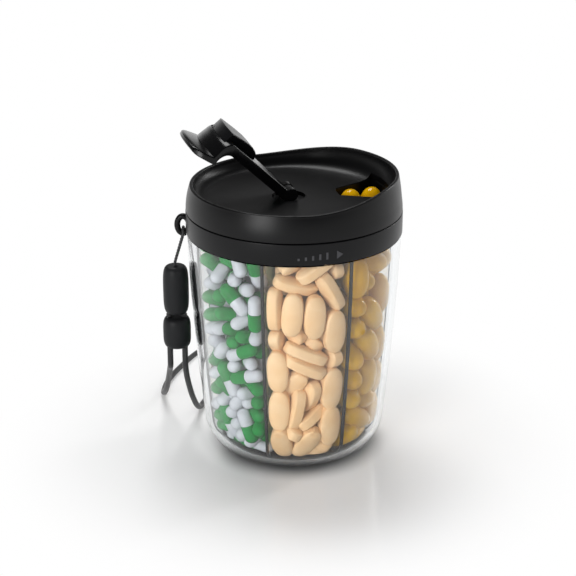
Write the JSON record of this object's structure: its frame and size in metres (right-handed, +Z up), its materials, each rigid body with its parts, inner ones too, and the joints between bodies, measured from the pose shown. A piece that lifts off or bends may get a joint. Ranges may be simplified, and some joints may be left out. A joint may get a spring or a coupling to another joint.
{
  "type": "pill organizer bottle",
  "caption": "Clear round pill bottle with a radial divider insert, a screw-on black collar, a dial lid with a sector port and flip lever, and a looped lanyard on the collar.",
  "frame": {"origin": "centre of the flat foot, on the surface the bottle stands on", "axes": "+Z up along the bottle's axis, -Y towards whoever faces the marked side of the collar, +X to the right"},
  "size_m": [0.1004, 0.1357, 0.138],
  "materials": {
    "clear_plastic": "clear polished moulded plastic",
    "vane_plastic": "clear polished moulded sheet",
    "black_plastic": "black moulded plastic, satin",
    "collar_plastic": "black moulded plastic, fine satin grain",
    "lid_plastic": "black moulded plastic, fine satin grain",
    "lever_plastic": "black moulded plastic, satin",
    "stopper_plastic": "black soft moulded plug, satin",
    "edge_rubber": "black soft edging",
    "gasket_silicone": "translucent grey silicone",
    "pin_steel": "plain steel wire",
    "bead_rubber": "dark grey moulded rubber, matte",
    "tie_thread": "thin twisted grey-black thread",
    "cord_fabric": "fine black woven cord"
  },
  "bodies": {
    "cup": {"cup_shell": "clear_plastic", "divider_hub": "black_plastic", "divider_vane_1": "vane_plastic", "divider_vane_2": "vane_plastic", "divider_vane_3": "vane_plastic", "divider_vane_4": "vane_plastic", "divider_vane_5": "vane_plastic", "divider_vane_6": "vane_plastic", "divider_vane_7": "vane_plastic", "divider_edge_1": "edge_rubber", "divider_edge_2": "edge_rubber", "divider_edge_3": "edge_rubber", "divider_edge_4": "edge_rubber", "divider_edge_5": "edge_rubber", "divider_edge_6": "edge_rubber", "divider_edge_7": "edge_rubber"},
    "gasket": {"collar_gasket": "gasket_silicone"},
    "collar": {"collar_ring": "collar_plastic", "lanyard_tie": "tie_thread", "lanyard_bead": "bead_rubber", "lanyard_loop": "cord_fabric"},
    "dial": {"lid_top": "lid_plastic", "lid_under_disc": "black_plastic", "hinge_pin": "pin_steel"},
    "lever": {"flip_lever": "lever_plastic", "stopper_seal": "stopper_plastic"},
    "slider": {"lanyard_slider": "bead_rubber"}
  },
  "joints": [
    {"name": "collar_lift", "type": "slide", "parent": "cup", "child": "gasket", "axis": [0, 0, 1], "range_m": [0, 0.009]},
    {"name": "collar_unscrew", "type": "hinge", "parent": "gasket", "child": "collar", "pos_m": [0, 0, 0.0952], "axis": [0, 0, 1], "range_deg": [0, 270]},
    {"name": "dial_turn", "type": "hinge", "parent": "collar", "child": "dial", "pos_m": [0, 0, 0.102], "axis": [0, 0, 1], "continuous": true},
    {"name": "lever_flip", "type": "hinge", "parent": "dial", "child": "lever", "pos_m": [-0.00214, -0.00053, 0.1073], "axis": [-0.2419, 0.9703, 0], "range_deg": [0, 135.5]},
    {"name": "slider_slide", "type": "slide", "parent": "collar", "child": "slider", "axis": [0, 0, -1], "range_m": [0, 0.005]}
  ],
  "couplings": [
    {"joint": "collar_lift", "follows": "collar_unscrew", "m_per_rad": 0.0019099}
  ]
}
